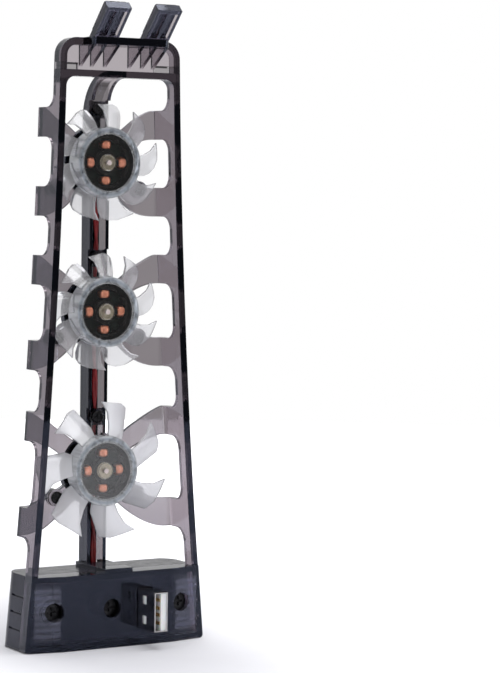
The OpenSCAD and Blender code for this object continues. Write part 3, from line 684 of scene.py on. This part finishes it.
class Shape:
    """Collects points and faces of one mesh piece, some of them turned into place."""

    def __init__(self):
        self.points = []
        self.faces = []

    def ring(self, points, place):
        """Adds a ring of points and gives their numbers."""
        first = len(self.points)
        self.points += [place @ Vector(p) for p in points]
        return list(range(first, len(self.points)))

    def bridge(self, a, b):
        """Faces between two rings of the same length."""
        n = len(a)
        self.faces += [(a[i], a[(i + 1) % n], b[(i + 1) % n], b[i]) for i in range(n)]

    def cap(self, ring):
        """Closes a ring with a fan of faces round its middle."""
        middle = sum((self.points[i] for i in ring), Vector()) / len(ring)
        self.points.append(middle)
        n, m = len(ring), len(self.points) - 1
        self.faces += [(ring[i], ring[(i + 1) % n], m) for i in range(n)]

    def stack(self, rings):
        """A closed body through rings from the bottom to the top."""
        self.cap(rings[0][::-1])
        for a, b in zip(rings, rings[1:]):
            self.bridge(a, b)
        self.cap(rings[-1])

    def lathe(self, profile, place):
        """A body turned about the local Z axis from a profile of radius and height."""
        turns = around(LATHE_SIDES)
        self.stack([self.ring(circle(r, height, turns), place) for r, height in profile])

    def piece(self, name, material, body, slot, *nodes):
        """The finished piece, which rides on a body and stands for CAD nodes."""
        mesh = bpy.data.meshes.new(name)
        mesh.from_pydata(self.points, [], self.faces)
        mesh.materials.append(material)
        mesh.shade_smooth()
        made = bpy.data.objects.new(name, mesh)
        bpy.context.scene.collection.objects.link(made)
        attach(made, body)
        if nodes:
            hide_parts(*nodes)
        return made


# How far in and how high each ring of a pad lies, as shares of PAD_EDGE and of its thickness
PAD_STEPS = ((0.0, 0.0), (0.0, 0.15), (0.0, 0.55), (0.12, 0.8), (0.4, 0.95), (1.0, 1.0), (1.4, 1.0))
PAD_EDGE = 0.35 * MM
PAD_GLUE = 0.04 * MM
CORNER_POINTS = 5
HUB_PAD_POINTS = 48
HOOK_PAD_T = 0.7 * MM
SPINE_CORNER_R = 0.6 * MM
HOOK_CORNER_R = 0.7 * MM


def foam_pad(shape, outline, thickness, place):
    """A glued foam pad with a flat top and soft edges; outline(d) is its outline moved in by d."""
    rings = []
    for d, lift in PAD_STEPS:
        height = max(PAD_GLUE, lift * thickness)
        rings.append(shape.ring([(x, y, height) for x, y in outline(d * PAD_EDGE)], place))
    shape.stack(rings)


def rounded_rectangle(width, height, r):
    """Gives the outline of a rectangle with round corners, moved in by d."""
    def outline(d):
        out = []
        for k, (sx, sy) in enumerate(((1, 1), (-1, 1), (-1, -1), (1, -1))):
            for i in range(CORNER_POINTS):
                a = math.pi / 2 * (k + i / (CORNER_POINTS - 1))
                out.append((sx * (width / 2 - r) + (r - d) * math.cos(a),
                            sy * (height / 2 - r) + (r - d) * math.sin(a)))
        return out
    return outline


def round_segment(r, chord, turn):
    """Gives the outline of a disc's part beyond a chord, moved in by d and turned to a side."""
    def outline(d):
        half = math.acos((chord + d) / (r - d))
        turns = [turn + half * (2 * i / (HUB_PAD_POINTS - 1) - 1) for i in range(HUB_PAD_POINTS)]
        return [((r - d) * math.cos(a), (r - d) * math.sin(a)) for a in turns]
    return outline


def spine_foam(material):
    low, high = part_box("spine_strip")
    middle = Vector((0, low[1], (low[2] + high[2]) / 2))
    outline = rounded_rectangle(high[0] - low[0], high[2] - low[2], SPINE_CORNER_R)
    shape = Shape()
    foam_pad(shape, outline, high[1] - low[1], Matrix.Translation(middle) @ BACKWARD)
    shape.piece("spine_foam", material, "stand", "foam", "spine_strip")


def hub_foam(material):
    """On each hub plate two round segments, one on each side of the spine."""
    low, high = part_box("hub_pads")
    shape = Shape()
    for fan in FANS:
        place = Matrix.Translation((0, low[1], FAN_Z[fan])) @ BACKWARD
        for turn in (0, math.pi):
            foam_pad(shape, round_segment(high[0], SPINE_HALF, turn), high[1] - low[1], place)
    shape.piece("hub_foam", material, "stand", "foam", "hub_pads")


def hook_foam(material):
    """A slanted pad on the back of each hook."""
    low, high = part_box("hook_pads")
    shape = Shape()
    for side in ("left", "right"):
        mount = MOUNTS[f"{side}_hook_pad"]
        centre, out = Vector(mount["pos_m"]), Vector(mount["axis"])
        length = (high[2] - low[2] - HOOK_PAD_T * out.z) / out.y
        width = 2 * (high[0] - abs(centre.x))
        across = Vector((-1, 0, 0))
        turned = Matrix((across, out.cross(across), out)).transposed().to_4x4()
        foam_pad(shape, rounded_rectangle(width, length, HOOK_CORNER_R), HOOK_PAD_T,
                 Matrix.Translation(centre - out * HOOK_PAD_T) @ turned)
    shape.piece("hook_foam", material, "stand", "foam", "hook_pads")


POLES = 4
WINDING_START = 4.2 * MM
WINDING_TURNS = 9
WINDING_GROOVE = 0.06 * MM
WINDING_CROWN = 0.3
POINTS_PER_TURN = 6


def windings(fan, material):
    """Windings of copper wire on the poles of one motor, thinner at their ends."""
    low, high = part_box(f"coils_{fan}")
    r = (high[1] - low[1]) / 2
    end = high[0]
    centre = Vector((0, (low[1] + high[1]) / 2, FAN_Z[fan]))
    count = WINDING_TURNS * POINTS_PER_TURN
    profile = []
    for i in range(count + 1):
        bulge = abs(math.sin(math.pi * i / POINTS_PER_TURN))
        crown = 1 - WINDING_CROWN * abs(2 * i / count - 1) ** 3
        profile.append((r * crown - WINDING_GROOVE * (1 - bulge),
                        WINDING_START + (end - WINDING_START) * i / count))
    shape = Shape()
    along_x = Matrix.Rotation(math.pi / 2, 4, "Y")
    for turn in around(POLES):
        turned = Matrix.Rotation(turn, 4, "Y") @ along_x
        shape.lathe(profile, Matrix.Translation(centre) @ turned)
    shape.piece(f"windings_{fan}", material, "stand", "copper", f"coils_{fan}")


# How far in and how high each ring of the liner lies, the height as a share of its thickness
LINER_STEPS = ((0.1 * MM, 0.0), (0.0, 0.3), (0.0, 0.7), (0.1 * MM, 1.0))
LINER_T = 0.3 * MM
LINER_GAP = 0.4 * MM
LINER_LENGTH = 3.4 * MM
LINER_CORNER_R = 0.4 * MM
PLUG_WINDOW_Y = -15.1 * MM


def plug_liner(material):
    """The insulation that shows in the two windows of the plug's side."""
    low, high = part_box("plug_shell")
    centre = Vector((low[0] + LINER_GAP, PLUG_WINDOW_Y, (low[2] + high[2]) / 2))
    place = Matrix.Translation(centre) @ SIDEWAYS
    outline = rounded_rectangle(LINER_LENGTH, high[2] - low[2] - 2 * LINER_GAP, LINER_CORNER_R)
    shape = Shape()
    shape.stack([shape.ring([(x, y, lift * LINER_T) for x, y in outline(d)], place)
                 for d, lift in LINER_STEPS])
    shape.piece("plug_liner", material, "stand", "white_plastic")


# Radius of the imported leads, and of the wires that stand for them
LEAD_R = 0.6 * MM
WIRE_R = 0.48 * MM
WIRE_SIDES = 12
WIRE_STEP = 1.5 * MM
WIRE_BEND = 1.5 * MM
BEND_CUT = 0.3 * WIRE_BEND
WIRE_DROP = 5 * MM
BRANCH_STEPS = 4
RED_SHIFT = 0.35 * MM
BLACK_SHIFT = -0.15 * MM
TWIST_R = 0.48 * MM
BLACK_TWIST_R = 0.4 * TWIST_R
TWIST_PITCH = 26 * MM
# Share of the twist that is left behind the hubs, and its depth as a share of its width
TWIST_LEFT = 0.4
TWIST_DEPTH = 0.5
# Distances from a fan's axis between which a wire goes from close to free
HUB_CLEAR = (13 * MM, 19 * MM)


def tube(shape, path):
    """A round wire along a path."""
    rings = []
    side = Vector((1, 0, 0))
    for i, point in enumerate(path):
        along = (path[min(i + 1, len(path) - 1)] - path[max(i - 1, 0)]).normalized()
        side = (side - along * side.dot(along)).normalized()
        up = along.cross(side)
        rings.append(shape.ring(
            [point + (side * math.cos(a) + up * math.sin(a)) * WIRE_R for a in around(WIRE_SIDES)],
            Matrix.Identity(4)))
    shape.stack(rings)


def wire_run(node, shift, twist, phase):
    """The way of a wire from the main board up the spine to the top motor.

    Between the fans it moves aside by `shift` and twists, and behind the hubs it runs closer.
    """
    low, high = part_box(node)
    x, y = (low[0] + high[0]) / 2, high[1] - LEAD_R
    bottom, top = low[2] + LEAD_R, high[2] - LEAD_R
    rise = top - bottom - 2 * WIRE_BEND
    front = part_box("motor_board_top")[1][1]
    near_x = x + TWIST_LEFT * twist * math.cos(phase)
    path = [Vector((near_x, low[1], bottom)), Vector((near_x, y - WIRE_BEND, bottom)),
            Vector((near_x, y - BEND_CUT, bottom + BEND_CUT))]
    count = round(rise / WIRE_STEP)
    for i in range(count + 1):
        z = bottom + WIRE_BEND + rise * i / count
        gap = min(abs(z - FAN_Z[fan]) for fan in FANS)
        free = min(1, max(0, (gap - HUB_CLEAR[0]) / (HUB_CLEAR[1] - HUB_CLEAR[0])))
        turn = 2 * math.pi * z / TWIST_PITCH + phase
        swing = twist * (TWIST_LEFT + (1 - TWIST_LEFT) * free)
        path.append(Vector((x + shift * free + swing * math.cos(turn),
                            y - TWIST_DEPTH * twist * free * (1 + math.sin(turn)), z)))
    path += [Vector((near_x, y - BEND_CUT, top - BEND_CUT)), Vector((near_x, y - WIRE_BEND, top)),
             Vector((near_x, front, top))]
    return path


def wire_branches(shape, node):
    """Short wires from the run to the lower two motors."""
    low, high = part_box(node)
    x, y = (low[0] + high[0]) / 2, high[1] - LEAD_R
    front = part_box("motor_board_top")[1][1]
    for fan in ("middle", "bottom"):
        z = FAN_Z[fan] - WIRE_DROP
        steps = [y + (front - y) * i / BRANCH_STEPS for i in range(BRANCH_STEPS + 1)]
        tube(shape, [Vector((x, step, z)) for step in steps])


def red_wires(material):
    """A twisted pair of red wires."""
    shape = Shape()
    for phase in (0, math.pi):
        tube(shape, wire_run("lead_red", RED_SHIFT, TWIST_R, phase))
    wire_branches(shape, "lead_red")
    shape.piece("red_wires", material, "stand", "red_lead", "lead_red")


def black_wire(material):
    shape = Shape()
    tube(shape, wire_run("lead_black", BLACK_SHIFT, BLACK_TWIST_R, 0))
    wire_branches(shape, "lead_black")
    shape.piece("black_wire", material, "stand", "black_lead", "lead_black")


BUTTON_R = 4.25 * MM
BUTTON_RISE = 4.6 * MM
BUTTON_DOME = 0.9 * MM
BUTTON_FLANGE_T = 0.8 * MM
BUTTON_STEM_R = 1.5 * MM
DOME_STEPS = 12
DOME_FULLNESS = 0.7


def button_dome(material):
    """The push button: a domed cap with a flange that holds it in, and a stem to the switch."""
    low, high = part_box("button_cap")
    reach, flange_r = high[1] - low[1], (high[0] - low[0]) / 2
    start = reach - BUTTON_RISE
    shoulder = reach - BUTTON_DOME
    profile = [(BUTTON_STEM_R, 0), (BUTTON_STEM_R, start), (flange_r, start),
               (flange_r, start + BUTTON_FLANGE_T), (BUTTON_R, start + BUTTON_FLANGE_T)]
    for i in range(DOME_STEPS):
        a = math.pi / 2 * i / DOME_STEPS
        profile.append((BUTTON_R * math.cos(a) ** DOME_FULLNESS,
                        shoulder + BUTTON_DOME * math.sin(a)))
    centre = Vector(((low[0] + high[0]) / 2, low[1], (low[2] + high[2]) / 2))
    shape = Shape()
    shape.lathe(profile, Matrix.Translation(centre) @ BACKWARD)
    shape.piece("button_dome", material, "power_button", "black_plastic", "button_cap")


FAN_SCREW_EAR_R = 16.2 * MM
FAN_SCREW_ANGLES = (-30, 90, 210)
SCREW_SIDES = 48
HEAD_ROWS = 14
SCREW_HEAD_R = 1.9 * MM
SCREW_HEAD_H = 0.8 * MM
SCREW_SHANK_R = 0.8 * MM
# How much the head falls to its rim, as a share of its height
HEAD_FALL = 0.55
CROSS_HALF = 0.32 * MM
CROSS_REACH = 1.25 * MM
CROSS_DEPTH = 0.5 * MM
# How much shallower the cross gets to its ends, as a share of its depth
CROSS_RISE = 0.6


def head_height(x, y):
    """Height of a pan head with a cross recess."""
    r = math.hypot(x, y)
    height = SCREW_HEAD_H * (1 - HEAD_FALL * (r / SCREW_HEAD_R) ** 4)
    if min(abs(x), abs(y)) < CROSS_HALF and max(abs(x), abs(y)) < CROSS_REACH:
        height -= CROSS_DEPTH * (1 - CROSS_RISE * r / CROSS_REACH)
    return height


def screw(shape, place, length):
    """A pan head on a plain shank, with the head towards local +Z."""
    turns = around(SCREW_SIDES)
    outline = [(SCREW_SHANK_R, -length), (SCREW_SHANK_R, 0), (SCREW_HEAD_R, 0)]
    rings = [shape.ring(circle(r, height, turns), place) for r, height in outline]
    for k in range(HEAD_ROWS):
        spots = circle(SCREW_HEAD_R * (1 - k / HEAD_ROWS), 0, turns)
        rings.append(shape.ring([(x, y, head_height(x, y)) for x, y, _ in spots], place))
    shape.stack(rings)


def fan_screws(material):
    low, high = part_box("fan_screws")
    shape = Shape()
    for fan in FANS:
        for angle in FAN_SCREW_ANGLES:
            a = math.radians(angle)
            spot = Vector((FAN_SCREW_EAR_R * math.cos(a), low[1] + SCREW_HEAD_H,
                           FAN_Z[fan] + FAN_SCREW_EAR_R * math.sin(a)))
            screw(shape, Matrix.Translation(spot) @ FORWARD, high[1] - low[1] - SCREW_HEAD_H)
    shape.piece("pan_head_screws", material, "stand", "black_screw", "fan_screws")


# Stage: floor and light

WHITE = (1, 1, 1, 1)
FLOOR_R = 0.75
FLOOR_POINTS = 96
# The floor's shade: its centre, the scale of the axes for its shape, and the distances from the
# centre where the glow begins, is pale and is white
SHADE_CENTRE = (-0.006, 0, 0)
SHADE_SCALE = (1, 0.4, 1)
SHADE_REACH = 0.015
PALE_REACH = 0.06
WHITE_REACH = 0.25
PALE_LEVEL = 0.25
# How bright reflections see the floor's glow, and the room from the front at 0 to the back at 1
REFLECTED_LEVEL = 0.1
ROOM_LEVELS = ((0.125, 0.12), (0.62, 1.0), (0.74, 1.0), (0.93, 0.75))
# Heights between which the room grows lighter, and how light it is above them
UPPER_ROOM = (0.06, 0.16)
UPPER_LEVEL = 0.5
AMBIENT_LEVEL = 0.5
LAMP_TARGET = Vector((0, 0, 0.1))
# Name, place, size and watts of each lamp
LAMPS = (
    ("overhead", (0.05, 0.0, 0.9), (0.9, 0.7), 6.5),
    ("left", (-0.9, -0.5, 0.35), (0.5, 0.8), 2.2),
    ("right", (0.9, -0.5, 0.35), (0.5, 0.8), 2.8),
)


def floor_paper():
    """Pale paper that keeps the shadow near the object, faded to white around it by a painted glow.
    """
    made = Finish("floor_paper")
    made.set(Specular_IOR_Level=0.0, Roughness=1.0, Emission_Color=WHITE)
    made.tones(made.noise(40), (0.71, 0.71, 0.75), (0.73, 0.73, 0.77))
    away = made.distance(SHADE_CENTRE, SHADE_SCALE)
    glow = made.math("ADD", made.between(away, SHADE_REACH, PALE_REACH, 0, PALE_LEVEL),
                     made.between(away, PALE_REACH, WHITE_REACH, 0, 1 - PALE_LEVEL))
    dimmed = made.between(made.reflected(), 0, 1, 1, REFLECTED_LEVEL)
    made.drive("Emission Strength", made.math("MULTIPLY", glow, made.seen_directly(), dimmed))
    return made.material


def new_floor():
    mesh = bpy.data.meshes.new("floor")
    mesh.from_pydata(circle(FLOOR_R, 0, around(FLOOR_POINTS)), [], [tuple(range(FLOOR_POINTS))])
    mesh.materials.append(floor_paper())
    floor = bpy.data.objects.new("floor", mesh)
    bpy.context.scene.collection.objects.link(floor)


def new_lamp(name, place, size, watts):
    data = bpy.data.lights.new(name, "AREA")
    data.shape = "RECTANGLE"
    data.size, data.size_y = size
    data.energy = watts
    lamp = bpy.data.objects.new(name, data)
    lamp.location = place
    lamp.rotation_euler = (LAMP_TARGET - Vector(place)).to_track_quat("-Z", "Y").to_euler()
    bpy.context.scene.collection.objects.link(lamp)


def new_world():
    """A room that is white to look at, dimmer as a light, and dim in front for reflections."""
    world = bpy.data.worlds.new("studio")
    bpy.context.scene.world = world
    world.use_nodes = True
    made = Nodes(world.node_tree)
    direction = made.axes(made.coords.outputs["Generated"])
    depth = made.between(direction["Y"], -1, 1, ease="LINEAR")
    room = made.ramp(depth, *[(place, grey(level)) for place, level in ROOM_LEVELS], ease="EASE")
    upper = made.between(direction["Z"], *UPPER_ROOM, 0, UPPER_LEVEL, ease="LINEAR")
    seen = made.mix(made.reflected(), 1.0, made.math("MAXIMUM", room, upper))
    background = made.tree.nodes["Background"]
    background.inputs["Color"].default_value = WHITE
    made.link(made.mix(made.seen_directly(), AMBIENT_LEVEL, seen), background.inputs["Strength"])


def set_stage():
    bpy.context.scene.view_settings.view_transform = "Standard"
    new_world()
    new_floor()
    for lamp in LAMPS:
        new_lamp(*lamp)


new_camera()
set_stage()

black_foam = closed_foam("black_foam", (0.0015, 0.0015, 0.003), (0.003, 0.003, 0.005))
blue_foam = closed_foam("blue_black_foam", (0.010, 0.012, 0.019), (0.014, 0.017, 0.026))
copper = copper_wire()
dark_metal = black_steel()
nylon = white_nylon()

dress(smoky_plastic(), "frame")
dress(dark_plastic(), "base_housing")
dress(clear_plastic(), *each_fan("motor_base"))
dress(circuit_board(), "main_board", *each_fan("motor_board"))
dress(core_steel(), *each_fan("stator_core"))
dress(sintered_brass(), *each_fan("bearing_sleeve"))
dress(rotor_plastic("top", (0.88, 0.88, 0.90), 0.2), "rotor_top")
dress(rotor_plastic("middle", (0.88, 0.88, 0.90), 0.2), "rotor_middle")
dress(rotor_plastic("bottom", (0.87, 0.87, 0.90), 0.55), "rotor_bottom")
dress(ferrite(), *each_fan("magnet_ring"))
dress(ground_steel(), *each_fan("shaft"))
dress(bright_steel(), "plug_shell", "socket_shell")
dress(nylon, "plug_tongue", "socket_tongue")
dress(gold_plate(), "plug_contacts", "socket_contacts")
dress(dark_metal, "base_screws")
dress(black_satin(), "switch_body", "button_bezel")

spine_foam(black_foam)
hub_foam(blue_foam)
hook_foam(black_foam)
for fan in FANS:
    windings(fan, copper)
fan_screws(dark_metal)
plug_liner(nylon)
button_dome(black_gloss())
red_wires(wire_skin("red_wire", (0.22, 0.008, 0.012), (0.36, 0.015, 0.02)))
black_wire(wire_skin("black_wire", (0.006, 0.006, 0.007), (0.016, 0.016, 0.018)))
